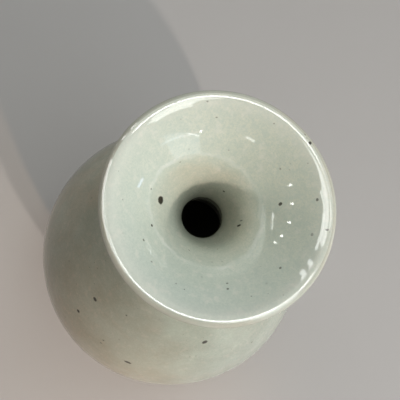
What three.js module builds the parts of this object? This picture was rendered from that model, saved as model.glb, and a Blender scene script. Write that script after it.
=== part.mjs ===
// Pear-shaped stoneware vase with a wide trumpet mouth, in millimetres, +Z up.
// The origin is the centre of the foot's resting face.
// The pot is thrown on a wheel in sections, which are luted together with clay slip,
// and the whole is then dressed in a coat of glaze that leaves only the foot bare.

import * as THREE from 'three';

// Overall form, measured on the glazed surface
const HEIGHT = 260;
const BELLY_RADIUS = 84.5;
const BELLY_HEIGHT = 82;
const MOUTH_RADIUS = 44;

// Foot ring, measured on the bare clay
const FOOT_RADIUS = 45;
const FOOT_HEIGHT = 9;
const FOOT_RING_WIDTH = 8;
const FOOT_EDGE_CHAMFER = 1.2;
const GLAZE_LINE_HEIGHT = 4;

// Neck and mouth
const THROAT_RADIUS = 8.7;
const THROAT_DEPTH = 39.5;
const THROAT_WALL = 6.6;
const THROAT_BORE_LENGTH = 2;
const THROAT_RING_LENGTH = 10;
const NECK_WALL = 4.4;
const NECK_JOINT_DEPTH = 68;
const DISH_SLOPE = THREE.MathUtils.degToRad(38);
const LIP_OUTER_RADIUS = 2.1;
const LIP_INNER_RADIUS = 5;
const LIP_LENGTH = 6;

// The neck bows a little to -X at the throat, as a hand-thrown neck does
const NECK_BOW = 1.9;
const NECK_BOW_REACH = 75;

// Walls, floor and coats
const BELLY_WALL = 6.4;
const FLOOR_THICKNESS = 8;
const GLAZE_THICKNESS = 0.7;
const SLIP_THICKNESS = 0.6;
const BASE_GLAZE_CLEARANCE = 0.3;

// How far each curve runs on in its first direction before it bends away
const BOWL_PULL_OUT = 26;
const BOWL_RISE = 13;
const BELLY_PULL_DOWN = 33;
const BELLY_PULL_UP = 62;
const NECK_PULL_DOWN = 62;
const FLARE_PULL_UP = 14;
const FLARE_PULL_IN = 13;
const DISH_PULL_IN = 19;
const THROAT_PULL_UP = 10;
const NECK_INSIDE_PULL_DOWN = 47;
const INSIDE_PULL_DOWN = 40;
const FLOOR_PULL_OUT = 54;

// Facets
const SEGMENTS = 36;
const BOWL_STEPS = 6;
const SHOULDER_STEPS = 7;
const NECK_STEPS = 3;
const RING_STEPS = 4;
const FLARE_STEPS = 5;
const LIP_OUTER_STEPS = 5;
const LIP_INNER_STEPS = 3;

// Clay and glaze as the fired pot shows them
const CLAY = { color: 0xc9b79a, roughness: 0.85, metalness: 0 };
const SLIP = { color: 0xbfae92, roughness: 0.9, metalness: 0 };
const GLAZE = { color: 0xc8cdbe, roughness: 0.12, metalness: 0 };

const point = (radius, height) => new THREE.Vector2(radius, height);

function bezier(start, startPull, endPull, end) {
  return new THREE.CubicBezierCurve(start, startPull, endPull, end);
}

// Points of a curve between two parameters, both ends included
function sample(curve, from, to, steps) {
  const points = [];
  for (let i = 0; i <= steps; i += 1) {
    points.push(curve.getPoint(from + ((to - from) * i) / steps));
  }
  return points;
}

// Parameter at which a curve that climbs or falls all the way reaches a height
function parameterAtHeight(curve, height) {
  const rising = curve.getPoint(1).y > curve.getPoint(0).y;
  let low = 0;
  let high = 1;
  for (let i = 0; i < 50; i += 1) {
    const middle = (low + high) / 2;
    const below = curve.getPoint(middle).y < height;
    if (below === rising) low = middle;
    else high = middle;
  }
  return (low + high) / 2;
}

// Heights that several pieces share
const throatHeight = HEIGHT - THROAT_DEPTH;
const neckJointHeight = HEIGHT - NECK_JOINT_DEPTH;
const halfSlip = SLIP_THICKNESS / 2;
const boreBottomHeight = throatHeight - THROAT_BORE_LENGTH;
const ringBottomHeight = boreBottomHeight - THROAT_RING_LENGTH;
const neckRadius = THROAT_RADIUS + THROAT_WALL;
const neckInsideRadius = neckRadius - NECK_WALL;
const insideRadius = BELLY_RADIUS - BELLY_WALL;
const glazedFootRadius = FOOT_RADIUS + GLAZE_THICKNESS;
const floorHeight = FOOT_HEIGHT + FLOOR_THICKNESS;

// Outside of the bowl, from the foot to the belly joint
const bowlOutside = bezier(
  point(glazedFootRadius, FOOT_HEIGHT),
  point(glazedFootRadius + BOWL_PULL_OUT, FOOT_HEIGHT + BOWL_RISE),
  point(BELLY_RADIUS, BELLY_HEIGHT - BELLY_PULL_DOWN),
  point(BELLY_RADIUS, BELLY_HEIGHT - halfSlip),
);

// Outside of the shoulder, from the belly joint up to the thinnest part of the neck
const shoulderOutside = bezier(
  point(BELLY_RADIUS, BELLY_HEIGHT + halfSlip),
  point(BELLY_RADIUS, BELLY_HEIGHT + BELLY_PULL_UP),
  point(neckRadius, throatHeight - NECK_PULL_DOWN),
  point(neckRadius, throatHeight),
);

// The lip is rounded tightly on its outside and more gently towards the dish.
// The two rounds meet at the crest, and both run on along the slope of the dish.
const slopeOut = point(Math.cos(DISH_SLOPE), Math.sin(DISH_SLOPE));
const slopeUp = point(-Math.sin(DISH_SLOPE), Math.cos(DISH_SLOPE));
const crestRadius = MOUTH_RADIUS - LIP_OUTER_RADIUS;
const outerCentre = point(crestRadius, HEIGHT - LIP_OUTER_RADIUS);
const innerCentre = point(crestRadius, HEIGHT - LIP_INNER_RADIUS);
const lipUnder = outerCentre.clone().addScaledVector(slopeUp, -LIP_OUTER_RADIUS);
const lipOver = innerCentre.clone().addScaledVector(slopeUp, LIP_INNER_RADIUS);
const lipThickness = lipOver.clone().sub(lipUnder).dot(slopeUp);
const flareEnd = lipUnder.clone().addScaledVector(slopeOut, -LIP_LENGTH);
const dishEnd = flareEnd.clone().addScaledVector(slopeUp, lipThickness);

function arc(centre, radius, fromAngle, toAngle, steps) {
  const points = [];
  for (let i = 0; i <= steps; i += 1) {
    const angle = fromAngle + ((toAngle - fromAngle) * i) / steps;
    points.push(point(Math.cos(angle), Math.sin(angle)).multiplyScalar(radius).add(centre));
  }
  return points;
}

const flareOutside = bezier(
  point(neckRadius, throatHeight),
  point(neckRadius, throatHeight + FLARE_PULL_UP),
  flareEnd.clone().addScaledVector(slopeOut, -FLARE_PULL_IN),
  flareEnd,
);

const dishInside = bezier(
  dishEnd,
  dishEnd.clone().addScaledVector(slopeOut, -DISH_PULL_IN),
  point(THROAT_RADIUS, throatHeight + THROAT_PULL_UP),
  point(THROAT_RADIUS, throatHeight),
);

// Under the short bore, the thick ring of the throat thins out to the wall of the neck
const ringInside = bezier(
  point(THROAT_RADIUS, boreBottomHeight),
  point(THROAT_RADIUS, (boreBottomHeight + ringBottomHeight) / 2),
  point(neckInsideRadius, (boreBottomHeight + ringBottomHeight) / 2),
  point(neckInsideRadius, ringBottomHeight),
);

// Inside of the neck and shoulder, down to the belly joint
const shoulderInside = bezier(
  point(neckInsideRadius, ringBottomHeight),
  point(neckInsideRadius, ringBottomHeight - NECK_INSIDE_PULL_DOWN),
  point(insideRadius, BELLY_HEIGHT + BELLY_PULL_UP - BELLY_WALL / 2),
  point(insideRadius, BELLY_HEIGHT + halfSlip),
);

// Inside of the bowl, from the belly joint down to the middle of the floor
const bowlInside = bezier(
  point(insideRadius, BELLY_HEIGHT - halfSlip),
  point(insideRadius, BELLY_HEIGHT - INSIDE_PULL_DOWN),
  point(FLOOR_PULL_OUT, floorHeight),
  point(0, floorHeight),
);

// The glazed outline runs from the glaze line up the outside, over the lip,
// and down the inside to the middle of the floor, one stretch after another.
const finished = [];
const firstOf = {};
const lastOf = {};

function addStretch(name, points) {
  firstOf[name] = finished.length;
  finished.push(...points);
  lastOf[name] = finished.length - 1;
}

const neckJoint = {
  outsideBelow: parameterAtHeight(shoulderOutside, neckJointHeight - halfSlip),
  outsideAbove: parameterAtHeight(shoulderOutside, neckJointHeight + halfSlip),
  insideBelow: parameterAtHeight(shoulderInside, neckJointHeight - halfSlip),
  insideAbove: parameterAtHeight(shoulderInside, neckJointHeight + halfSlip),
};

const crestAngle = Math.PI / 2;
const underAngle = DISH_SLOPE - crestAngle;
const overAngle = DISH_SLOPE + crestAngle;
const lipOutside = arc(outerCentre, LIP_OUTER_RADIUS, underAngle, crestAngle, LIP_OUTER_STEPS);
const lipInside = arc(innerCentre, LIP_INNER_RADIUS, crestAngle, overAngle, LIP_INNER_STEPS);

addStretch('footOutside', [
  point(glazedFootRadius, GLAZE_LINE_HEIGHT),
  point(glazedFootRadius, FOOT_HEIGHT - SLIP_THICKNESS),
]);
addStretch('bowlOutside', sample(bowlOutside, 0, 1, BOWL_STEPS));
addStretch('shoulderOutside', sample(shoulderOutside, 0, neckJoint.outsideBelow, SHOULDER_STEPS));
addStretch('neckOutside', sample(shoulderOutside, neckJoint.outsideAbove, 1, NECK_STEPS));
addStretch('flareOutside', sample(flareOutside, 0, 1, FLARE_STEPS).slice(1));
addStretch('lipOutside', lipOutside);
addStretch('lipInside', lipInside.slice(1));
addStretch('dishInside', sample(dishInside, 0, 1, FLARE_STEPS));
addStretch('neckInside', [
  ...sample(ringInside, 0, 1, RING_STEPS),
  ...sample(shoulderInside, 0, neckJoint.insideAbove, NECK_STEPS).slice(1),
]);
addStretch('shoulderInside', sample(shoulderInside, neckJoint.insideBelow, 1, SHOULDER_STEPS));
addStretch('bowlInside', sample(bowlInside, 0, 1, BOWL_STEPS));

// Outline of the clay, a glaze thickness behind the glazed outline.
// The outline runs with its surface on the right-hand side, so the clay is on the left.
function inset(points, depth) {
  const sideOf = (a, b) => point(a.y - b.y, b.x - a.x).normalize();
  return points.map((here, i) => {
    const before = i > 0 ? sideOf(points[i - 1], here) : null;
    const after = i < points.length - 1 ? sideOf(here, points[i + 1]) : null;
    const first = before ?? after;
    const second = after ?? before;
    const middle = first.clone().add(second).normalize();
    const moved = here.clone().addScaledVector(middle, depth / middle.dot(first));
    moved.x = here.x === 0 ? 0 : moved.x;
    return moved;
  });
}

const clay = inset(finished, GLAZE_THICKNESS);
const clayAlong = (from, to) => clay.slice(from, to + 1);
const glazeAlong = (from, to) => finished.slice(from, to + 1);
const crest = lastOf.lipOutside;

// Offset of the neck's centre line at a height: none at the mouth or down at the shoulder
function bowAt(height) {
  const above = height > throatHeight;
  const reach = above ? THROAT_DEPTH : NECK_BOW_REACH;
  const share = Math.min(1, Math.abs(height - throatHeight) / reach);
  return (-NECK_BOW * (1 + Math.cos(Math.PI * share))) / 2;
}

// A solid of revolution about +Z from a profile of radius and height
function turned(profile) {
  const geometry = new THREE.LatheGeometry(profile, SEGMENTS);
  geometry.rotateX(Math.PI / 2);
  const position = geometry.attributes.position;
  for (let i = 0; i < position.count; i += 1) {
    position.setX(i, position.getX(i) + bowAt(position.getZ(i)));
  }
  return geometry;
}

const closed = (points) => [...points, points[0].clone()];

const vase = new THREE.Group();

function addPiece(name, profile, finish) {
  const mesh = new THREE.Mesh(turned(profile), new THREE.MeshStandardMaterial(finish));
  mesh.name = name;
  vase.add(mesh);
}

// Foot ring: bare turned clay, flat underneath, with its two lower edges chamfered
const footTop = clay[lastOf.footOutside].y;
const footInside = FOOT_RADIUS - FOOT_RING_WIDTH;
const footOutline = [
  point(footInside + FOOT_EDGE_CHAMFER, 0),
  point(FOOT_RADIUS - FOOT_EDGE_CHAMFER, 0),
  point(FOOT_RADIUS, FOOT_EDGE_CHAMFER),
  ...clayAlong(firstOf.footOutside, lastOf.footOutside),
  point(footInside, footTop),
  point(footInside, FOOT_EDGE_CHAMFER),
];
addPiece('foot_ring', closed(footOutline), CLAY);

// Slip between the foot ring and the flat underside of the bowl
const bowlUnder = clay[firstOf.bowlOutside].y;
addPiece('foot_slip', closed([
  clay[lastOf.footOutside],
  clay[firstOf.bowlOutside],
  point(footInside, bowlUnder),
  point(footInside, footTop),
]), SLIP);

// Lower body: a thrown bowl with the floor of the pot
addPiece('lower_body', [
  point(0, bowlUnder),
  ...clayAlong(firstOf.bowlOutside, lastOf.bowlOutside),
  ...clayAlong(firstOf.bowlInside, lastOf.bowlInside),
], CLAY);

addPiece('belly_slip', closed([
  clay[lastOf.bowlOutside],
  clay[firstOf.shoulderOutside],
  clay[lastOf.shoulderInside],
  clay[firstOf.bowlInside],
]), SLIP);

// Upper body: thrown upside down as a second bowl and collared in towards the neck
addPiece('upper_body', closed([
  ...clayAlong(firstOf.shoulderOutside, lastOf.shoulderOutside),
  ...clayAlong(firstOf.shoulderInside, lastOf.shoulderInside),
]), CLAY);

addPiece('neck_slip', closed([
  clay[lastOf.shoulderOutside],
  clay[firstOf.neckOutside],
  clay[lastOf.neckInside],
  clay[firstOf.shoulderInside],
]), SLIP);

addPiece('neck', closed([
  ...clayAlong(firstOf.neckOutside, lastOf.neckOutside),
  ...clayAlong(lastOf.dishInside, lastOf.neckInside),
]), CLAY);

addPiece('mouth_dish', closed([
  ...clayAlong(lastOf.neckOutside, lastOf.flareOutside),
  ...clayAlong(firstOf.dishInside, lastOf.dishInside),
]), CLAY);

// Lip: the edge of the dish, folded and rounded over
addPiece('lip', closed(clayAlong(lastOf.flareOutside, firstOf.dishInside)), CLAY);

addPiece('outer_glaze', closed([
  ...glazeAlong(0, crest),
  ...clayAlong(0, crest).reverse(),
]), GLAZE);

addPiece('inner_glaze', [
  ...clayAlong(crest, clay.length - 1).reverse(),
  ...glazeAlong(crest, finished.length - 1),
], GLAZE);

// Glaze in the well under the bowl, inside the foot ring
const wellRadius = footInside - BASE_GLAZE_CLEARANCE;
addPiece('base_glaze', [
  point(0, bowlUnder - GLAZE_THICKNESS),
  point(wellRadius, bowlUnder - GLAZE_THICKNESS),
  point(wellRadius, bowlUnder),
  point(0, bowlUnder),
], GLAZE);

export default vase;
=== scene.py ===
import math
import random

import bpy
import numpy as np
from mathutils import Matrix, Quaternion, Vector


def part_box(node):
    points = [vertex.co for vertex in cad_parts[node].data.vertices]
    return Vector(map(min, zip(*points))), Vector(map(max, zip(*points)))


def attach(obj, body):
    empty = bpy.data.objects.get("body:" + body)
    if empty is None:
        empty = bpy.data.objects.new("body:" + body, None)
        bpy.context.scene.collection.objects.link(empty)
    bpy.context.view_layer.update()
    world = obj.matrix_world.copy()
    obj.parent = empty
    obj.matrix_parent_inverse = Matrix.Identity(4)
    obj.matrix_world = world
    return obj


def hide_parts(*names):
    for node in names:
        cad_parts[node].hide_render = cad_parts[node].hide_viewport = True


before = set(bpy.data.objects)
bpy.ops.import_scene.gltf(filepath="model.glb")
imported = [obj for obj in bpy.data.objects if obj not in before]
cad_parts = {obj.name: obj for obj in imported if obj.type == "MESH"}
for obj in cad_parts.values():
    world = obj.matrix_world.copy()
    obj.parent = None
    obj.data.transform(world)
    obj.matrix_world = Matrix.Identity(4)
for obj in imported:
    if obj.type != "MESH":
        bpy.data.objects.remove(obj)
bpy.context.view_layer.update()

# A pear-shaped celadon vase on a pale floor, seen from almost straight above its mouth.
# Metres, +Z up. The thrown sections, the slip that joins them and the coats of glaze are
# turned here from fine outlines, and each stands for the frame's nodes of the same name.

rng = random.Random(7)


# Sizes taken from the frame

def half_depth(node):
    low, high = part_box(node)
    return (high.y - low.y) / 2


def bottom(node):
    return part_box(node)[0].z


def top(node):
    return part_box(node)[1].z


GLAZE = 0.0007
HEIGHT = top("outer_glaze")
BELLY_RADIUS = half_depth("outer_glaze")
BELLY_HEIGHT = (bottom("belly_slip") + top("belly_slip")) / 2
HALF_SLIP = (top("foot_slip") - bottom("foot_slip")) / 2
MOUTH_RADIUS = half_depth("lip") + GLAZE
FOOT_RADIUS = half_depth("foot_ring")
FOOT_TOP = top("foot_ring")
FOOT_HEIGHT = FOOT_TOP + 2 * HALF_SLIP
GLAZE_LINE = bottom("outer_glaze")
NECK_JOINT = (bottom("neck_slip") + top("neck_slip")) / 2
BASE_GLAZE_RADIUS = half_depth("base_glaze")

# Sizes that the frame's boxes don't show, as the model has them. The bow is how far the neck's
# centre line stands to -X at the throat.
THROAT_DEPTH = 0.0395
THROAT_RADIUS = 0.0087
THROAT_WALL = 0.0066
THROAT_BORE = 0.002
THROAT_RING = 0.010
NECK_WALL = 0.0044
BELLY_WALL = 0.0064
FLOOR_THICKNESS = 0.008
DISH_SLOPE = math.radians(38)
LIP_OUTER_RADIUS = 0.0021
LIP_INNER_RADIUS = 0.005
LIP_LENGTH = 0.006
NECK_BOW = 0.0019
NECK_BOW_REACH = 0.075
FOOT_RING_WIDTH = 0.008
FOOT_ROUND = 0.0012

# The glaze is fuller on the dish by this much. It swells between two runs past the crest, and
# thins again towards the throat between two radii.
FULLNESS = 0.0003
FULLER_PAST_CREST = (0.0003, 0.0063)
FULLER_RADIUS = (0.014, 0.023)

# The fine relief of the glaze, which the model leaves out: throwing rings, slow waves round
# the pot, and the knee, which is the ridge that the potter's finger left in the dish.
# A wave is given by its strength and its counts round the pot, a lean of the knee by its
# count, its size and its azimuth.
RING_PITCH = 0.0085
RING_DEPTH_OUTSIDE = 0.00003
RING_DEPTH_INSIDE = 0.000015
BODY_WAVE = (0.00010, (2, 3, 5))
LIP_WAVE = (0.00009, (2, 3, 7, 11))
LIP_WAVE_REACH = 0.006
FOOT_EASE = 0.01
KNEE_RISE = 0.00010
KNEE_WIDTH = 0.0011
KNEE_RADIUS = 0.0223
KNEE_LEANS = ((1, 0.0023, -134), (2, 0.0006, 9), (3, 0.0005, -32))

# The grooves on the face of the foot, and the trimming spiral and rounded edge of the well
FACE_STEPS = 24
GROOVE_STEPS = 4
GROOVE_DEPTH = 0.00022
SPIRAL_STEPS = 39
SPIRAL_PITCH = 0.0035
SPIRAL_DEPTH = 0.00008
WELL_EDGE = ((0.0012, 0.0), (0.0005, 0.0002), (0.0, 0.0006))

# Steps round the axis, how many steps of the glaze's shown side one behind it spans, the
# shortest step of an outline, and the angle from which an edge is sharp
GLAZE_SEGMENTS = 160
FOOT_SEGMENTS = 160
WELL_SEGMENTS = 120
CLAY_SEGMENTS = 96
STEPS_BEHIND = 4
SHORTEST_STEP = 1e-7
SHARP_ANGLE = math.radians(35)

# How far the curves' control points stand from their ends
BOWL_PULL_OUT = 0.026
BOWL_RISE = 0.013
BELLY_PULL_DOWN = 0.033
BELLY_PULL_UP = 0.062
NECK_PULL_DOWN = 0.062
FLARE_PULL_UP = 0.014
FLARE_PULL_IN = 0.013
DISH_PULL_IN = 0.019
THROAT_PULL_UP = 0.010
NECK_INSIDE_PULL = 0.047
INSIDE_PULL_DOWN = 0.040
FLOOR_PULL_OUT = 0.054

throat_height = HEIGHT - THROAT_DEPTH
bore_bottom = throat_height - THROAT_BORE
ring_bottom = bore_bottom - THROAT_RING
glazed_foot = FOOT_RADIUS + GLAZE
neck_radius = THROAT_RADIUS + THROAT_WALL
neck_inside = neck_radius - NECK_WALL
inside_radius = BELLY_RADIUS - BELLY_WALL
floor_height = FOOT_HEIGHT + FLOOR_THICKNESS


# Outlines: rows of (radius, height)

def bezier(start, start_pull, end_pull, end, steps, first=0.0, last=1.0):
    t = np.linspace(first, last, steps + 1)[:, None]
    points = [np.array(p, float) for p in (start, start_pull, end_pull, end)]
    shares = ((1 - t) ** 3, 3 * (1 - t) ** 2 * t, 3 * (1 - t) * t**2, t**3)
    return sum(share * p for share, p in zip(shares, points))


def arc(centre, radius, from_angle, to_angle, steps):
    angles = np.linspace(from_angle, to_angle, steps + 1)
    return np.array(centre) + radius * np.column_stack([np.cos(angles), np.sin(angles)])


def straight(start, end, steps):
    return np.linspace(start, end, steps + 1)


def parameter_at(curve, height, steps=2000):
    """The share of a curve at which it reaches this height."""
    t = np.linspace(0, 1, steps + 1)
    heights = bezier(*curve, steps)[:, 1]
    order = np.argsort(heights)
    return float(np.interp(height, heights[order], t[order]))


def eased(values, low, high):
    """From 0 at low to 1 at high, with a soft start and end."""
    t = np.clip((values - low) / (high - low), 0, 1)
    return t * t * (3 - 2 * t)


def inset(points, depth):
    """The outline moved to its left, which is into the clay."""
    runs = np.diff(points, axis=0)
    sides = np.column_stack([-runs[:, 1], runs[:, 0]])
    sides /= np.linalg.norm(sides, axis=1)[:, None]
    before = np.vstack([sides[:1], sides])
    after = np.vstack([sides, sides[-1:]])
    middle = before + after
    middle /= np.linalg.norm(middle, axis=1)[:, None]
    moved = points + middle * (depth / np.sum(middle * before, axis=1))[:, None]
    moved[points[:, 0] == 0, 0] = 0
    return moved


bowl_outside = (
    (glazed_foot, FOOT_HEIGHT),
    (glazed_foot + BOWL_PULL_OUT, FOOT_HEIGHT + BOWL_RISE),
    (BELLY_RADIUS, BELLY_HEIGHT - BELLY_PULL_DOWN),
    (BELLY_RADIUS, BELLY_HEIGHT - HALF_SLIP),
)
shoulder_outside = (
    (BELLY_RADIUS, BELLY_HEIGHT + HALF_SLIP),
    (BELLY_RADIUS, BELLY_HEIGHT + BELLY_PULL_UP),
    (neck_radius, throat_height - NECK_PULL_DOWN),
    (neck_radius, throat_height),
)
ring_inside = (
    (THROAT_RADIUS, bore_bottom),
    (THROAT_RADIUS, (bore_bottom + ring_bottom) / 2),
    (neck_inside, (bore_bottom + ring_bottom) / 2),
    (neck_inside, ring_bottom),
)
shoulder_inside = (
    (neck_inside, ring_bottom),
    (neck_inside, ring_bottom - NECK_INSIDE_PULL),
    (inside_radius, BELLY_HEIGHT + BELLY_PULL_UP - BELLY_WALL / 2),
    (inside_radius, BELLY_HEIGHT + HALF_SLIP),
)
bowl_inside = (
    (inside_radius, BELLY_HEIGHT - HALF_SLIP),
    (inside_radius, BELLY_HEIGHT - INSIDE_PULL_DOWN),
    (FLOOR_PULL_OUT, floor_height),
    (0.0, floor_height),
)

# The lip is rounded tightly outside and more gently towards the dish
slope_out = np.array([math.cos(DISH_SLOPE), math.sin(DISH_SLOPE)])
slope_up = np.array([-math.sin(DISH_SLOPE), math.cos(DISH_SLOPE)])
crest_radius = MOUTH_RADIUS - LIP_OUTER_RADIUS
outer_centre = np.array([crest_radius, HEIGHT - LIP_OUTER_RADIUS])
inner_centre = np.array([crest_radius, HEIGHT - LIP_INNER_RADIUS])
lip_under = outer_centre - LIP_OUTER_RADIUS * slope_up
lip_over = inner_centre + LIP_INNER_RADIUS * slope_up
lip_thickness = float((lip_over - lip_under) @ slope_up)
flare_end = lip_under - LIP_LENGTH * slope_out
dish_end = flare_end + lip_thickness * slope_up
flare_outside = (
    (neck_radius, throat_height),
    (neck_radius, throat_height + FLARE_PULL_UP),
    flare_end - FLARE_PULL_IN * slope_out,
    flare_end,
)
dish_inside = (
    dish_end,
    dish_end - DISH_PULL_IN * slope_out,
    (THROAT_RADIUS, throat_height + THROAT_PULL_UP),
    (THROAT_RADIUS, throat_height),
)

QUARTER = math.pi / 2
joint_below, joint_above = NECK_JOINT - HALF_SLIP, NECK_JOINT + HALF_SLIP
neck_out_below = parameter_at(shoulder_outside, joint_below)
neck_out_above = parameter_at(shoulder_outside, joint_above)
neck_in_above = parameter_at(shoulder_inside, joint_above)
neck_in_below = parameter_at(shoulder_inside, joint_below)

# The glazed outline from the glaze line up the outside, over the lip and down the inside
STRETCHES = {
    "foot_outside": straight((glazed_foot, GLAZE_LINE), (glazed_foot, FOOT_TOP), 8),
    "bowl_outside": bezier(*bowl_outside, 64),
    "shoulder_outside": bezier(*shoulder_outside, 84, 0, neck_out_below),
    "neck_outside": bezier(*shoulder_outside, 16, neck_out_above, 1),
    "flare_outside": bezier(*flare_outside, 30)[1:],
    "lip_outside": np.vstack([
        straight(flare_end, lip_under, 4)[1:-1],
        arc(outer_centre, LIP_OUTER_RADIUS, DISH_SLOPE - QUARTER, QUARTER, 16),
    ]),
    "lip_inside": np.vstack([
        arc(inner_centre, LIP_INNER_RADIUS, QUARTER, DISH_SLOPE + QUARTER, 10)[1:],
        straight(lip_over, dish_end, 5)[1:-1],
    ]),
    "dish_inside": bezier(*dish_inside, 64),
    "neck_inside": np.vstack([
        bezier(*ring_inside, 10),
        bezier(*shoulder_inside, 10, 0, neck_in_above)[1:],
    ]),
    "shoulder_inside": bezier(*shoulder_inside, 30, neck_in_below, 1),
    "bowl_inside": bezier(*bowl_inside, 26),
}
finished = np.vstack(list(STRETCHES.values()))
clay = inset(finished, GLAZE)


def run_along(points):
    """The length of the outline from its first point to each of its points."""
    return np.r_[0, np.cumsum(np.linalg.norm(np.diff(points, axis=0), axis=1))]


def crest_of(points):
    """The row of the outline's highest point."""
    return int(np.argmax(points[:, 1]))


# The glaze lies a little fuller on the dish, from the crest of the lip down to the knee
past_crest = run_along(finished)
past_crest = past_crest - past_crest[crest_of(finished)]
fuller = eased(past_crest, *FULLER_PAST_CREST) * eased(finished[:, 0], *FULLER_RADIUS)
fuller[finished[:, 1] < throat_height] = 0
finished = inset(finished, -FULLNESS * fuller)
CREST_RUN = float(run_along(finished)[crest_of(finished)])

# The row where each stretch starts and the row where it ends
first_of, last_of = {}, {}
row = 0
for stretch, points in STRETCHES.items():
    first_of[stretch], last_of[stretch] = row, row + len(points) - 1
    row += len(points)
bowl_start = clay[first_of["bowl_outside"]]


def clay_along(first, last):
    """The clay's outline under the glaze, from one row to another."""
    return clay[first:last + 1]


def direction(azimuth, elevation):
    a, e = math.radians(azimuth), math.radians(elevation)
    return Vector((math.cos(a) * math.cos(e), math.sin(a) * math.cos(e), math.sin(e)))


# Surfaces of revolution

def bow_at(height):
    """How far the neck's centre line stands to -X at these heights."""
    height = np.asarray(height)
    reach = np.where(height > throat_height, THROAT_DEPTH, NECK_BOW_REACH)
    share = np.minimum(1, np.abs(height - throat_height) / reach)
    return -NECK_BOW * (1 + np.cos(np.pi * share)) / 2


def new_piece(name, points, faces):
    mesh = bpy.data.meshes.new(name)
    mesh.from_pydata(points, [], faces)
    piece = bpy.data.objects.new(name, mesh)
    bpy.context.scene.collection.objects.link(piece)
    return piece


def faces_between(a, b):
    """The faces from one ring of points to the next. A ring on the axis is a single point."""
    if len(a) == len(b) == 1:
        return []
    segments = max(len(a), len(b))
    steps = [(k, (k + 1) % segments) for k in range(segments)]
    if len(a) == 1:
        return [(a[0], b[n], b[k]) for k, n in steps]
    if len(b) == 1:
        return [(a[k], a[n], b[0]) for k, n in steps]
    return [(a[k], a[n], b[n], b[k]) for k, n in steps]


def turned(name, outline, segments, depth=None, kept=None):
    """A closed solid turned about Z. An outline closes on itself or has both ends on the axis.

    depth(theta) gives a row of offsets for each outline point, to the left of the outline,
    which is into the clay. kept(theta) gives, by name, rows of values that the material reads."""
    outline = np.asarray(outline, float)
    theta = np.linspace(0, 2 * np.pi, segments, endpoint=False)
    on_axis = outline[:, 0] == 0
    radius = np.repeat(outline[:, :1], segments, axis=1)
    height = np.repeat(outline[:, 1:], segments, axis=1)
    if depth is not None:
        before = np.roll(outline, 1, axis=0)
        after = np.roll(outline, -1, axis=0)
        side = np.column_stack([-(after - before)[:, 1], (after - before)[:, 0]])
        side /= np.linalg.norm(side, axis=1)[:, None]
        offset = depth(theta)
        radius = radius + offset * side[:, :1]
        height = height + offset * side[:, 1:]
    values = kept(theta) if kept else {}
    points, rings, picks = [], [], []
    for i in range(len(outline)):
        start = len(points)
        if on_axis[i]:
            points.append((float(bow_at(outline[i, 1])), 0.0, outline[i, 1]))
            rings.append([start])
            picks.append([i * segments])
            continue
        x = radius[i] * np.cos(theta) + bow_at(height[i])
        y = radius[i] * np.sin(theta)
        points.extend(zip(x.tolist(), y.tolist(), height[i].tolist()))
        rings.append(list(range(start, start + segments)))
        picks.append(range(i * segments, (i + 1) * segments))
    picks = np.concatenate([np.array(pick) for pick in picks])
    faces = []
    for a, b in zip(rings, rings[1:] + rings[:1]):
        faces.extend(faces_between(a, b))
    piece = new_piece(name, points, faces)
    mesh = piece.data
    mesh.validate()
    for key, rows in values.items():
        layer = mesh.attributes.new(key, "FLOAT", "POINT")
        layer.data.foreach_set("value", rows.ravel()[picks].astype(np.float32))
    mesh.shade_smooth()
    mesh.set_sharp_from_angle(angle=SHARP_ANGLE)
    return piece


def dress(piece, material, slot, *nodes):
    """Give a piece its material, put it under the root, and hide the frame's nodes that it stands
    for.
    """
    piece.data.materials.append(material)
    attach(piece, "root")
    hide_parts(*nodes)


# Nodes of a material

def add(tree, kind, inputs=None, **settings):
    """A node of this kind. A socket given as an input is linked, and a value is set."""
    node = tree.nodes.new("ShaderNode" + kind)
    for name, value in settings.items():
        setattr(node, name, value)
    for key, value in (inputs or {}).items():
        if isinstance(value, bpy.types.NodeSocket):
            tree.links.new(value, node.inputs[key])
        else:
            node.inputs[key].default_value = value
    return node


def sums(tree, operation, a, b=0.0):
    """The result of a Math node."""
    return add(tree, "Math", {0: a, 1: b}, operation=operation).outputs[0]


def times(tree, a, b):
    return sums(tree, "MULTIPLY", a, b)


def toward(tree, where, azimuth):
    """How far a point lies from the axis in a level direction."""
    inputs = {0: where, 1: direction(azimuth, 0)}
    return add(tree, "VectorMath", inputs, operation="DOT_PRODUCT").outputs["Value"]


def spread(tree, value, low, high, to_low=0.0, to_high=1.0):
    """The value's way from low to high, eased and drawn out between to_low and to_high."""
    inputs = {"Value": value, "From Min": low, "From Max": high}
    inputs |= {"To Min": to_low, "To Max": to_high}
    return add(tree, "MapRange", inputs, interpolation_type="SMOOTHSTEP").outputs[0]


def blend(tree, share, a, b, how="MIX"):
    """Colour a with a share of colour b. The Mix node has its colours at sockets 6 and 7."""
    inputs = {0: share, 6: a, 7: b}
    return add(tree, "Mix", inputs, data_type="RGBA", blend_type=how).outputs[2]


def noise(tree, where, scale, detail=3.0, roughness=0.55):
    inputs = {"Vector": where, "Scale": scale, "Detail": detail, "Roughness": roughness}
    return add(tree, "TexNoise", inputs).outputs["Fac"]


def bump(tree, height, distance, normal=None):
    inputs = {"Height": height, "Distance": distance}
    if normal is not None:
        inputs["Normal"] = normal
    return add(tree, "Bump", inputs).outputs["Normal"]


def new_material(name, **constants):
    material = bpy.data.materials.new(name)
    material.use_nodes = True
    tree = material.node_tree
    tree.nodes.clear()
    shader = add(tree, "BsdfPrincipled", constants)
    add(tree, "OutputMaterial", {"Surface": shader.outputs[0]})
    where = add(tree, "TexCoord").outputs["Object"]
    return material, tree, shader, where


def wire(tree, shader, **sockets):
    for name, socket in sockets.items():
        tree.links.new(socket, shader.inputs[name.replace("_", " ")])


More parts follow.
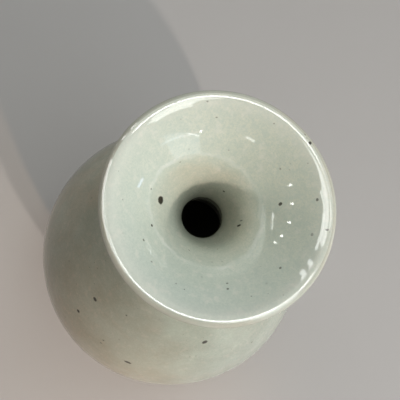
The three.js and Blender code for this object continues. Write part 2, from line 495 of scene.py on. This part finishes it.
# Iron specks: where the photograph shows one, with its size and turn.
# A dish speck is placed by its radius, a belly speck by its height, both in mm,
# and both by their azimuth in degrees. Turn is from the level direction, in degrees.

DISH_SPECKS = (
    # azimuth, radius, long, short, turn, darkness
    (-145, 20.5, 2.8, 3.0, 4, 1.0),
    (50, 25.7, 1.5, 1.2, 60, 0.95),
    (49, 36.9, 1.1, 0.9, 20, 0.85),
    (-119, 25.0, 1.0, 0.9, 0, 0.9),
    (-110, 30.2, 0.9, 0.8, 0, 0.7),
    (-95, 32.1, 0.7, 0.6, 0, 0.5),
    (-151, 25.5, 0.7, 0.6, 0, 0.6),
    (97, 12.2, 0.9, 0.7, 0, 0.8),
    (24, 13.8, 1.7, 0.8, 70, 0.95),
    (33, 14.1, 1.4, 0.5, 75, 0.6),
    (-38, 28.4, 0.8, 0.7, 0, 0.6),
    (-39, 30.4, 0.9, 0.7, 0, 0.75),
    (0, 32.1, 1.0, 0.8, 30, 0.7),
    (77, 29.4, 0.8, 0.6, 0, 0.45),
    (73, 31.6, 0.7, 0.5, 0, 0.25),
    (71, 37.5, 0.7, 0.5, 0, 0.25),
    (28, 35.9, 1.1, 0.9, 0, 0.5),
    (32, 40.2, 1.2, 0.8, 80, 0.8),
    (142, 39.1, 0.8, 0.6, 0, 0.5),
    (136, 34.0, 0.7, 0.5, 0, 0.5),
    (121, 24.3, 0.6, 0.5, 0, 0.35),
    (-74, 17.7, 0.8, 0.5, 20, 0.5),
    (170, 22.6, 0.7, 0.5, 0, 0.45),
    (80, 41.8, 1.2, 1.0, 0, 1.0),
    (85, 42.4, 0.8, 0.6, 0, 0.45),
    (83, 41.9, 0.6, 0.5, 0, 0.3),
)
BELLY_SPECKS = (
    # azimuth, height, long, short, turn, darkness
    (-102, 142.5, 2.4, 1.8, 5, 1.0),
    (-102, 128.1, 2.1, 1.7, 5, 0.95),
    (-83, 150.1, 1.0, 0.8, 0, 0.7),
    (-84, 127.9, 1.2, 0.8, 30, 0.7),
    (-84, 124.9, 1.3, 0.8, 30, 0.6),
    (-69, 122.4, 4.0, 1.9, 2, 0.9),
    (-33, 144.3, 2.9, 2.2, 18, 1.0),
    (-41, 135.7, 0.9, 0.7, 0, 0.4),
    (-8, 125.9, 1.4, 1.0, 0, 0.45),
    (-19, 131.9, 0.7, 0.6, 0, 0.3),
    (-139, 112.6, 1.1, 0.9, 0, 0.6),
    (-126, 134.3, 1.0, 0.8, 0, 0.4),
    (-117, 151.4, 0.9, 0.7, 0, 0.35),
)
# A speck's place is in mm. Its edge is soft, so it is drawn larger, at 850 of its mm to a metre.
PLACE_UNITS = 1000
SPECK_UNITS = 850
SPECK_DEPTH = 0.0006
SPECK_EDGE = (0.72, 1.18)
SPECK_RAGGEDNESS = 0.0006


def speck_frame(stretch, azimuth, distance_key, distance, turn):
    """Where a speck lies on a stretch of the glazed outline, and the matrix of its axes."""
    first, last = first_of[stretch[0]], last_of[stretch[1]]
    outline = finished[first:last + 1]
    if distance_key == 0:
        outline = outline[int(np.argmax(outline[:, 0])):][::-1]
    keys = outline[:, distance_key]
    radius, height = (float(np.interp(distance, keys, outline[:, k])) for k in (0, 1))
    i = min(max(int(np.searchsorted(keys, distance)), 1), len(outline) - 1)
    along = outline[i] - outline[i - 1]
    a = math.radians(azimuth)
    level = Vector((-math.sin(a), math.cos(a), 0))
    rise = Vector((math.cos(a) * along[0], math.sin(a) * along[0], along[1])).normalized()
    out = level.cross(rise)
    t = math.radians(turn)
    long_way = level * math.cos(t) + rise * math.sin(t)
    short_way = out.cross(long_way)
    axes = Matrix((long_way, short_way, out)).transposed()
    place = Vector((radius * math.cos(a) + float(bow_at(height)), radius * math.sin(a), height))
    return place, axes


def one_speck(tree, where, place, axes, long, short, darkness):
    size = (long / 2, short / 2, SPECK_DEPTH)
    inputs = {"Vector": where, "Location": place, "Rotation": axes.to_euler(), "Scale": size}
    inside = add(tree, "Mapping", inputs, vector_type="TEXTURE").outputs[0]
    reach = add(tree, "VectorMath", {0: inside}, operation="LENGTH").outputs["Value"]
    return spread(tree, reach, *SPECK_EDGE, darkness, 0.0)


def placed_specks(tree, where):
    """How dark the placed specks are at a point."""
    ragged = add(tree, "TexNoise", {"Vector": where, "Scale": 1500.0, "Detail": 2.0})
    inputs = {0: ragged.outputs["Color"], 1: (0.5, 0.5, 0.5)}
    shift = add(tree, "VectorMath", inputs, operation="SUBTRACT").outputs[0]
    inputs = {0: shift, "Scale": SPECK_RAGGEDNESS}
    shift = add(tree, "VectorMath", inputs, operation="SCALE").outputs[0]
    where = add(tree, "VectorMath", {0: where, 1: shift}, operation="ADD").outputs[0]
    darkest = None
    groups = (
        (DISH_SPECKS, ("lip_outside", "dish_inside"), 0),
        (BELLY_SPECKS, ("shoulder_outside", "shoulder_outside"), 1),
    )
    for specks, stretch, key in groups:
        for azimuth, distance, long, short, turn, darkness in specks:
            place, axes = speck_frame(stretch, azimuth, key, distance / PLACE_UNITS, turn)
            long, short = long / SPECK_UNITS, short / SPECK_UNITS
            here = one_speck(tree, where, place, axes, long, short, darkness)
            darkest = here if darkest is None else sums(tree, "MAXIMUM", darkest, here)
    return darkest


def scattered_specks(tree, where, spacing, size, share, darkness):
    """Fine specks, one to a cell in a share of the cells."""
    cell = add(tree, "TexVoronoi", {"Vector": where, "Scale": 1 / spacing})
    pick = add(tree, "SeparateColor", {0: cell.outputs["Color"]})
    there = sums(tree, "LESS_THAN", pick.outputs[0], share)
    grow = spread(tree, pick.outputs[1], 0.0, 1.0, 0.45, 1.0)
    reach = sums(tree, "DIVIDE", cell.outputs["Distance"], grow)
    spot = spread(tree, reach, 0.5 * size / spacing, size / spacing, darkness, 0.0)
    return times(tree, spot, there)


# Materials

COOL_GLAZE = (0.555, 0.620, 0.545, 1)
WARM_GLAZE = (0.620, 0.635, 0.520, 1)
PALE_GLAZE = (0.665, 0.670, 0.590, 1)
DEEP_GLAZE = (0.480, 0.550, 0.480, 1)
# Outside: painted shade, toast with painted warm light, painted cool light and a painted shaded
# side
OUTER_SHADE_GLAZE = (0.57, 0.55, 0.50, 1)
TOAST_AND_WARM_LIGHT_GLAZE = (0.65, 0.54, 0.47, 1)
COOL_LIGHT_OUTER_GLAZE = (0.57, 0.56, 0.55, 1)
SIDE_SHADE_GLAZE = (0.84, 0.80, 0.76, 1)
# Painted shade in the throat
THROAT_SHADE_GLAZE = (0.55, 0.56, 0.54, 1)
# Painted warm reflection inside the knee
WARM_REFLECTION_GLAZE = (0.93, 0.86, 0.81, 1)
# Thin glaze and a painted highlight on the knee
THIN_HIGHLIT_GLAZE = (0.78, 0.79, 0.74, 1)
LIP_GLAZE = (0.66, 0.67, 0.60, 1)
# Painted shade below the throat
HOLLOW_SHADE_GLAZE = (0.070, 0.065, 0.045, 1)
IRON = (0.030, 0.026, 0.018, 1)
TOASTED_CLAY = (0.36, 0.19, 0.08, 1)

MOTTLES = (
    # scale, detail and roughness of the noise, from where to where it shows, share, colour
    (1300.0, 3.0, 0.7, 0.35, 0.7, 0.85, DEEP_GLAZE),
    (140.0, 5.0, 0.65, 0.35, 0.7, 0.24, DEEP_GLAZE),
    (380.0, 4.0, 0.7, 0.42, 0.68, 0.58, DEEP_GLAZE),
    (300.0, 3.0, 0.6, 0.52, 0.72, 0.55, PALE_GLAZE),
)

# The surface of the glaze: ripples round the pot, a slow swell and a fine orange peel
RIPPLE_HEIGHT = 0.000011
SWELL_HEIGHT = 0.00002
PEEL_HEIGHT = 0.000002

# Bare clay and slip: the colours of the body, of its grit and of its pale clouds
BARE_CLAY = ((0.50, 0.38, 0.25, 1), (0.10, 0.06, 0.035, 1), (0.60, 0.48, 0.34, 1))
CLAY_SLIP = ((0.44, 0.34, 0.23, 1), (0.12, 0.08, 0.05, 1), (0.52, 0.41, 0.29, 1))
FLOOR_DARK = (0.37, 0.36, 0.35, 1)
FLOOR_PALE = (0.395, 0.385, 0.375, 1)
SAND_HEIGHT = 0.00016
GRIT_HEIGHT = 0.0001


def ground_colour(tree, where, y, around):
    """The glaze is warmer towards +Y and cooler towards -Y, and streaks and clouds follow the
    turning.
    """
    cloud = noise(tree, where, 22.0, 4.0, 0.6)
    warm_side = sums(tree, "ADD", y, times(tree, cloud, 0.05))
    colour = blend(tree, spread(tree, warm_side, -0.03, 0.075), COOL_GLAZE, WARM_GLAZE)
    streak = noise(tree, around, 1.0, 3.0, 0.6)
    colour = blend(tree, spread(tree, streak, 0.3, 0.75, 0.0, 0.22), colour, PALE_GLAZE)
    for scale, detail, roughness, low, high, share, tint in MOTTLES:
        mottle = noise(tree, where, scale, detail, roughness)
        colour = blend(tree, spread(tree, mottle, low, high, 0.0, share), colour, tint)
    return colour


def outside_over(tree, where, x, y, outside, colour):
    """Outside the glaze is painted darker and greyer as painted shade, toasted in places, warmer
    towards -Y and cooler towards +X as painted light, and darker on the side away from the light
    as painted shade.
    """
    # Painted shade: the outside is multiplied darker and greyer everywhere, more in some patches
    patch = noise(tree, where, 38.0, 4.0, 0.6)
    outer_shade = times(tree, outside, spread(tree, patch, 0.25, 0.75, 0.70, 1.0))
    toast = spread(tree, noise(tree, where, 30.0, 3.0, 0.5), 0.42, 0.62, 0.0, 0.7)
    # Painted warm light: towards -Y the toast colour covers the glaze fully, for the warm light
    # falling there
    toast = sums(tree, "MAXIMUM", toast, spread(tree, y, -0.075, -0.02, 1.0, 0.0))
    outer = blend(tree, toast, OUTER_SHADE_GLAZE, TOAST_AND_WARM_LIGHT_GLAZE)
    # Painted cool light: the outside is cooler towards +X
    outer = blend(tree, spread(tree, x, 0.03, 0.08), outer, COOL_LIGHT_OUTER_GLAZE)
    colour = blend(tree, outer_shade, colour, outer, "MULTIPLY")
    # Painted shade on the side that faces azimuth -140, away from the light
    side_shade = spread(tree, toward(tree, where, -140), 0.0, 0.065, 0.0, 0.9)
    return blend(tree, times(tree, outside, side_shade), colour, SIDE_SHADE_GLAZE, "MULTIPLY")


def knee_over(tree, where, y, in_dish, colour):
    """Inside the knee a beige tint is painted as a warm reflection, stronger towards +Y, and on
    the knee itself the glaze is paler, partly thin glaze and partly a painted highlight.
    """
    off_knee = add(tree, "Attribute", attribute_name="off_knee").outputs["Fac"]
    ragged = sums(tree, "SUBTRACT", noise(tree, where, 170.0, 3.0), 0.5)
    ragged = sums(tree, "ADD", off_knee, times(tree, ragged, 0.0030))
    # Painted warm reflection: a beige tint inside the knee, stronger towards +Y
    warm_reflection = times(tree, in_dish, spread(tree, ragged, -0.0045, 0.0006, 1.0, 0.0))
    warm_reflection = times(tree, warm_reflection, spread(tree, y, -0.012, 0.010, 0.35, 1.0))
    colour = blend(tree, warm_reflection, colour, WARM_REFLECTION_GLAZE, "MULTIPLY")
    # Thin glaze and a painted highlight: a pale line along the knee, stronger towards -Y
    knee = spread(tree, sums(tree, "ABSOLUTE", ragged), 0.0002, 0.0010, 0.85, 0.0)
    broken = spread(tree, noise(tree, where, 45.0, 2.0), 0.35, 0.62, 0.12, 0.8)
    knee = times(tree, knee, broken)
    knee = times(tree, knee, spread(tree, y, -0.015, 0.015, 1.0, 0.4))
    return blend(tree, times(tree, knee, in_dish), colour, THIN_HIGHLIT_GLAZE)


def celadon():
    material, tree, shader, where = new_material("celadon_glaze", IOR=1.5)
    x, y, z = add(tree, "SeparateXYZ", {0: where}).outputs
    run = add(tree, "Attribute", attribute_name="run").outputs["Fac"]
    radius = sums(tree, "SQRT", sums(tree, "ADD", times(tree, x, x), times(tree, y, y)))
    inside = sums(tree, "GREATER_THAN", run, CREST_RUN)
    outside = sums(tree, "SUBTRACT", 1.0, inside)
    in_dish = times(tree, inside, spread(tree, z, throat_height - 0.004, throat_height))

    # Places stretched round the pot, so that what is laid over them follows the turning
    around = add(tree, "CombineXYZ", {
        0: times(tree, x, 14.0),
        1: times(tree, y, 14.0),
        2: times(tree, run, 420.0),
    }).outputs[0]

    colour = ground_colour(tree, where, y, around)
    colour = outside_over(tree, where, x, y, outside, colour)

    # Painted shade: the glaze is darker where the dish runs down into the throat
    throat_shade = times(tree, in_dish, spread(tree, radius, 0.0105, 0.0175, 1.0, 0.0))
    colour = blend(tree, throat_shade, colour, THROAT_SHADE_GLAZE, "MULTIPLY")
    colour = knee_over(tree, where, y, in_dish, colour)
    lip = spread(tree, z, HEIGHT - 0.0035, HEIGHT - 0.0005, 0.0, 0.32)
    colour = blend(tree, lip, colour, LIP_GLAZE)

    # Painted shade: below the throat the glaze turns near black, and a band at the top of the
    # bore darker
    hollow_shade = spread(tree, z, bore_bottom - 0.005, bore_bottom - 0.0025, 1.0, 0.0)
    hollow_shade = times(tree, inside, hollow_shade)
    bore_top_shade = spread(tree, z, bore_bottom + 0.0030, bore_bottom + 0.0035, 0.7, 0.0)
    shaded = sums(tree, "MAXIMUM", hollow_shade, times(tree, inside, bore_top_shade))
    colour = blend(tree, shaded, colour, HOLLOW_SHADE_GLAZE)

    specks = placed_specks(tree, where)
    fine = scattered_specks(tree, where, 0.0038, 0.00042, 0.30, 0.5)
    faint = scattered_specks(tree, where, 0.0062, 0.0008, 0.25, 0.2)
    iron = sums(tree, "MAXIMUM", specks, sums(tree, "MAXIMUM", fine, faint))
    colour = blend(tree, iron, colour, IRON)

    rough = spread(tree, noise(tree, where, 60.0, 3.0), 0.3, 0.7, 0.02, 0.05)
    rough = sums(tree, "ADD", rough, times(tree, specks, 0.25))
    rough = sums(tree, "ADD", rough, times(tree, hollow_shade, 0.5))
    normal = bump(tree, noise(tree, around, 0.55, 2.0), RIPPLE_HEIGHT)
    normal = bump(tree, noise(tree, where, 90.0, 2.0), SWELL_HEIGHT, normal)
    normal = bump(tree, noise(tree, where, 700.0, 2.0), PEEL_HEIGHT, normal)
    wire(tree, shader, Base_Color=colour, Roughness=rough, Normal=normal)
    return material


def stoneware(name, body, grit_colour, pale):
    material, tree, shader, where = new_material(name, IOR=1.45)
    cloud = noise(tree, where, 45.0, 4.0, 0.6)
    colour = blend(tree, spread(tree, cloud, 0.3, 0.7), body, pale)
    height = add(tree, "SeparateXYZ", {0: where}).outputs["Z"]
    toast = spread(tree, height, 0.0022, GLAZE_LINE, 0.0, 0.75)
    colour = blend(tree, toast, colour, TOASTED_CLAY)
    grit = scattered_specks(tree, where, 0.0016, 0.00035, 0.5, 0.85)
    colour = blend(tree, grit, colour, grit_colour)
    sand = noise(tree, where, 1400.0, 4.0, 0.7)
    rough = spread(tree, sand, 0.3, 0.7, 0.74, 0.92)
    normal = bump(tree, sand, SAND_HEIGHT)
    normal = bump(tree, grit, GRIT_HEIGHT, normal)
    wire(tree, shader, Base_Color=colour, Roughness=rough, Normal=normal)
    return material


def floor_material():
    material, tree, shader, where = new_material("pale_floor", Roughness=0.9, IOR=1.4)
    cloud = noise(tree, where, 6.0, 3.0)
    colour = blend(tree, cloud, FLOOR_DARK, FLOOR_PALE)
    wire(tree, shader, Base_Color=colour)
    return material


# Pieces

def wave(theta, strength, counts):
    """A smooth offset round the pot, from 0 to twice the strength."""
    total = np.zeros_like(theta)
    for count in counts:
        total += np.cos(count * theta + rng.uniform(0, 2 * math.pi)) / len(counts)
    return strength * (1 + total)


def knee_at(theta):
    """The radius of the ridge that the potter's finger left in the dish, by azimuth."""
    radius = np.full_like(theta, KNEE_RADIUS)
    for count, size, azimuth in KNEE_LEANS:
        radius += size * np.cos(count * (theta - math.radians(azimuth)))
    return radius


def glaze_coat(material):
    """The whole coat of glaze, from the glaze line over the lip to the inside floor."""
    edge = GLAZE / 2
    bead = arc((glazed_foot - edge, GLAZE_LINE + edge), edge, -QUARTER, 0, 4)
    shown = np.vstack([bead, finished[1:]])
    behind = clay[::-1]
    behind = behind[np.unique(np.r_[0:len(behind):STEPS_BEHIND, len(behind) - 1])]
    outline = np.vstack([shown, behind])
    run = np.r_[run_along(shown), np.zeros(len(behind))]
    count = np.arange(len(outline))
    outside = count < crest_of(shown)
    inside = (count > crest_of(shown)) & (count < len(shown))
    radius, height = outline[:, 0], outline[:, 1]
    on_lip = np.clip(1 - (HEIGHT - height) / LIP_WAVE_REACH, 0, 1)
    on_lip = (on_lip * (radius > crest_radius - LIP_WAVE_REACH))[:, None]
    in_dish = (inside & (height > throat_height))[:, None]
    above_foot = np.clip((height - FOOT_HEIGHT) / FOOT_EASE, 0, 1)[:, None]
    ring_depth = np.where(outside, RING_DEPTH_OUTSIDE, 0) + np.where(inside, RING_DEPTH_INSIDE, 0)

    def off_knee(theta):
        return radius[:, None] - knee_at(theta)[None, :]

    def kept(theta):
        return {"run": run[:, None] * np.ones((1, len(theta))), "off_knee": off_knee(theta)}

    def depth(theta):
        spiral = run[:, None] / RING_PITCH + theta[None, :] / (2 * np.pi)
        rings = ring_depth[:, None] * (0.5 - 0.5 * np.cos(2 * np.pi * spiral))
        body = wave(theta, *BODY_WAVE)[None, :] * outside[:, None]
        lip = wave(theta, *LIP_WAVE)[None, :]
        knee = KNEE_RISE * np.exp(-((off_knee(theta) / KNEE_WIDTH) ** 2)) * in_dish
        total = (rings + body) * (1 - on_lip) + lip * on_lip - knee
        return np.where((count < len(shown))[:, None], total * above_foot, 0)

    piece = turned("glaze_coat", outline, GLAZE_SEGMENTS, depth, kept)
    dress(piece, material, "celadon_glaze", "outer_glaze", "inner_glaze")


def foot(bare_clay, slip):
    """The foot ring, on a flat, finely grooved face with rounded edges, and the slip on it."""
    inner_foot = FOOT_RADIUS - FOOT_RING_WIDTH
    foot_side = clay_along(first_of["foot_outside"], last_of["foot_outside"])
    foot_top = foot_side[-1][1]
    face = straight((inner_foot + FOOT_ROUND, 0), (FOOT_RADIUS - FOOT_ROUND, 0), FACE_STEPS)
    face[GROOVE_STEPS // 2::GROOVE_STEPS, 1] = GROOVE_DEPTH
    ring = np.vstack([
        arc((inner_foot + FOOT_ROUND, FOOT_ROUND), FOOT_ROUND, 2 * QUARTER, 3 * QUARTER, 5)[:-1],
        face,
        arc((FOOT_RADIUS - FOOT_ROUND, FOOT_ROUND), FOOT_ROUND, -QUARTER, 0, 5)[1:],
        foot_side,
        [(inner_foot, foot_top)],
    ])
    dress(turned("foot_ring_clay", ring, FOOT_SEGMENTS), bare_clay, "bare_clay", "foot_ring")
    joint = [foot_side[-1], bowl_start, (inner_foot, bowl_start[1]), (inner_foot, foot_top)]
    dress(turned("foot_slip_ring", joint, CLAY_SEGMENTS), slip, "clay_slip", "foot_slip")


def thrown_sections(material):
    """The clay of the belly's two bowls, the neck, the dish and the lip."""
    sections = {
        "lower_body": [
            [(0, bowl_start[1])],
            clay_along(first_of["bowl_outside"], last_of["bowl_outside"])[::2],
            clay_along(last_of["bowl_outside"], last_of["bowl_outside"]),
            clay_along(first_of["bowl_inside"], last_of["bowl_inside"]),
        ],
        "upper_body": [
            clay_along(first_of["shoulder_outside"], last_of["shoulder_outside"])[::2],
            clay_along(first_of["shoulder_inside"], last_of["shoulder_inside"]),
        ],
        "neck": [
            clay_along(first_of["neck_outside"], last_of["neck_outside"]),
            clay_along(last_of["dish_inside"], last_of["neck_inside"]),
        ],
        "mouth_dish": [
            clay_along(last_of["neck_outside"], last_of["flare_outside"])[::2],
            clay_along(first_of["dish_inside"], last_of["dish_inside"])[::2],
        ],
        "lip": [clay_along(last_of["flare_outside"], first_of["dish_inside"])],
    }
    for name, parts in sections.items():
        outline = np.vstack(parts)
        steps = np.linalg.norm(np.diff(outline, axis=0), axis=1)
        piece = turned(name + "_clay", outline[np.r_[True, steps > SHORTEST_STEP]], CLAY_SEGMENTS)
        dress(piece, material, "bare_clay", name)


def slip_joints(material):
    """The slip at the belly and under the neck."""
    joints = {
        "belly_slip": ("bowl_outside", "shoulder_outside", "shoulder_inside", "bowl_inside"),
        "neck_slip": ("shoulder_outside", "neck_outside", "neck_inside", "shoulder_inside"),
    }
    for name, (below, above, inside_above, inside_below) in joints.items():
        outline = [
            clay[last_of[below]], clay[first_of[above]],
            clay[last_of[inside_above]], clay[first_of[inside_below]],
        ]
        piece = turned(name + "_ring", outline, CLAY_SEGMENTS)
        dress(piece, material, "clay_slip", name)


def base_glaze(material):
    """The glazed well inside the foot ring, with its trimming spiral and a rounded edge."""
    low, high = bottom("base_glaze"), top("base_glaze")
    edge = [(BASE_GLAZE_RADIUS - inward, low - down) for inward, down in WELL_EDGE]
    radii = np.linspace(0, edge[0][0], SPIRAL_STEPS + 1)
    spiral = SPIRAL_DEPTH * (1 - np.cos(2 * np.pi * radii / SPIRAL_PITCH))
    under = np.column_stack([radii, low + spiral])
    outline = np.vstack([under, edge[1:], [(BASE_GLAZE_RADIUS, high), (0, high)]])
    piece = turned("base_glaze_well", outline, WELL_SEGMENTS)
    dress(piece, material, "celadon_glaze", "base_glaze")


# Floor, light and camera

def floor():
    reach = 8.0
    corners = [(-reach, -reach, 0), (reach, -reach, 0), (reach, reach, 0), (-reach, reach, 0)]
    piece = new_piece("floor", corners, [(0, 1, 2, 3)])
    piece.data.materials.append(floor_material())


MOUTH_CENTRE = (0, 0, HEIGHT)
LAMP_DISTANCE = 2.0
SOFTBOX_DISTANCE = 6.0
SPOT_SOFTNESS = 0.04

# What the glaze mirrors: radiance and colour of its lights, and azimuth and elevation of the
# small lamps
WINDOW = (7.0, (0.97, 1.0, 0.97))
DOOR = (8.5, (0.98, 1.0, 0.98))
SKYLIGHT = (15.0, (1.0, 1.0, 0.98))
SPARK = (22.0, (1.0, 0.99, 0.95))
SPARKS = ((-20, 23.2), (-125, 30.5), (-142, 28.2), (-159, 24.6), (-172, 20.1), (-179, 16.6))

# The room, where it is lit and where it isn't, and what the camera sees past the floor
ROOM_LIT = (0.73, 0.755, 0.765, 1)
ROOM_DARK = (0.085, 0.068, 0.048, 1)
ROOM_SEEN = (0.62, 0.60, 0.59, 1)


def lamp(name, data, azimuth, elevation, distance, target=MOUTH_CENTRE, roll=0):
    """Hang a light in a direction from its target, and turn it to the target."""
    way = direction(azimuth, elevation)
    piece = bpy.data.objects.new(name, data)
    piece.location = Vector(target) + way * distance
    turn = way.to_track_quat("Z", "Y") @ Quaternion((0, 0, 1), math.radians(roll))
    piece.rotation_euler = turn.to_euler()
    piece.visible_camera = False
    bpy.context.scene.collection.objects.link(piece)
    return piece


def spot(name, target, azimuth, elevation, strength, cone, colour):
    """A lamp with this strength at its target and a soft edge, without a reflection."""
    data = bpy.data.lights.new(name, "SPOT")
    data.energy = strength * 4 * math.pi * LAMP_DISTANCE**2
    data.spot_size = math.radians(cone)
    data.spot_blend = 1.0
    data.shadow_soft_size = SPOT_SOFTNESS
    data.color = colour
    lamp(name, data, azimuth, elevation, LAMP_DISTANCE, target).visible_glossy = False


def card(name, azimuth, elevation, wide, tall, radiance, colour, distance=LAMP_DISTANCE, **place):
    """A rectangle of light. wide and tall are the angles that it spans, in degrees."""
    data = bpy.data.lights.new(name, "AREA")
    data.shape = "RECTANGLE"
    data.size = 2 * distance * math.tan(math.radians(wide / 2))
    data.size_y = 2 * distance * math.tan(math.radians(tall / 2))
    data.energy = radiance * math.pi * data.size * data.size_y
    data.color = colour
    return lamp(name, data, azimuth, elevation, distance, **place)


def shine(*sizes, **place):
    """A card that shows in reflections alone."""
    card(*sizes, **place).visible_diffuse = False


def softbox(*sizes, **place):
    """A card that lights without a reflection of its own."""
    card(*sizes, **place).visible_glossy = False


def studio():
    world = bpy.data.worlds.new("studio")
    world.use_nodes = True
    tree = world.node_tree
    tree.nodes.clear()
    look = add(tree, "TexCoord").outputs["Generated"]
    lit = spread(tree, toward(tree, look, 55), -0.84, 0.62)
    seen = add(tree, "LightPath").outputs["Is Camera Ray"]
    colour = blend(tree, seen, blend(tree, lit, ROOM_DARK, ROOM_LIT), ROOM_SEEN)
    light = add(tree, "Background", {"Color": colour, "Strength": 1.0})
    add(tree, "OutputWorld", {"Surface": light.outputs[0]})
    bpy.context.scene.world = world

    spot("key", (0, 0, 0.24), -22, 27, 1.52, 80, (1.0, 0.88, 0.80))
    spot("warm_patch", (0.055, -0.13, 0), -25, 27, 1.6, 10, (1.0, 0.66, 0.42))
    spot("mouth_glow", (0.032, 0.030, 0.25), -135, 75, 0.30, 3.4, (1.0, 0.99, 0.95))
    softbox("overhead", 80, 64, 18, 18, 4.0, (0.97, 1.0, 0.98), distance=SOFTBOX_DISTANCE)
    softbox("zenith", -135, 76, 28, 28, 2.2, (1.0, 0.99, 0.97), distance=SOFTBOX_DISTANCE)
    low = {"distance": 0.8, "target": (0, 0, 0.05)}
    softbox("low_window", 5, 10, 40, 14, 5.0, (0.96, 0.96, 1.0), **low)
    card("side_window", -5, 15, 28, 14, 2.0, (0.80, 0.92, 1.0))

    # What the lip mirrors: a tall window, a glazed door and the skylight, and between them the
    # thin marks that show in the dish: the window's bars, two lamps and a blue pane
    shine("window", 4, 48, 20, 18, *WINDOW, roll=-17)
    shine("window_top", 12, 65, 16, 18, *WINDOW, roll=-14)
    shine("window_arch", 46, 76.7, 14, 5.2, *WINDOW, roll=22)
    shine("window_bar", -13.5, 20.5, 9, 1.2, 5.0, (0.90, 0.96, 1.0), roll=12)
    shine("window_rail", 4, 19, 20, 1.0, 2.6, (0.75, 0.86, 1.0), roll=-8)
    shine("lamp_strip", -158, 16.9, 18, 0.7, 9.0, (1.0, 1.0, 0.98), roll=8)
    shine("lamp_edge", -66, 30.5, 8, 1.2, 8.0, (1.0, 1.0, 0.97), roll=-5)
    shine("blue_pane", 42, 6.5, 7, 3.6, 6.0, (0.55, 0.72, 1.0))
    shine("door", -160.5, 63.4, 27, 36, *DOOR, roll=5)
    shine("door_foot", -168, 43.8, 20, 5, *DOOR, roll=18)
    shine("door_side", 169.5, 46.1, 2.2, 23.6, *DOOR, roll=19)
    shine("door_end", 162.5, 46.5, 3, 27, *DOOR, roll=19)
    shine("skylight", 79, 80.9, 9.7, 9.8, *SKYLIGHT, roll=31)
    shine("skylight_end", 67.8, 74.6, 8.0, 2.6, *SKYLIGHT, roll=22)

    # Small lamps that sparkle in the dish
    for number, (azimuth, elevation) in enumerate(SPARKS):
        shine("spark_%d" % number, azimuth, elevation, 1.5, 1.5, *SPARK)


def camera():
    """The photograph's camera, fitted to the outlines of the mouth, the throat and the belly."""
    position = Vector((0.0007, -0.05238, 0.4485))
    forward = Vector((-0.03622, 0.24397, -0.96911)).normalized()
    image_up = Vector((-0.70868, 0.67746, 0.19703))
    right = forward.cross(image_up).normalized()
    image_up = right.cross(forward)
    data = bpy.data.cameras.new("camera")
    data.sensor_width = 36.0
    data.lens = 48.94
    data.clip_start = 0.01
    piece = bpy.data.objects.new("camera", data)
    axes = Matrix((right, image_up, -forward)).transposed().to_4x4()
    piece.matrix_world = Matrix.Translation(position) @ axes
    bpy.context.scene.collection.objects.link(piece)
    bpy.context.scene.camera = piece


camera()
studio()
floor()
glaze_look = celadon()
clay_look = stoneware("bare_clay", *BARE_CLAY)
slip_look = stoneware("clay_slip", *CLAY_SLIP)
glaze_coat(glaze_look)
foot(clay_look, slip_look)
thrown_sections(clay_look)
slip_joints(slip_look)
base_glaze(glaze_look)
bpy.context.scene.view_settings.view_transform = "Standard"
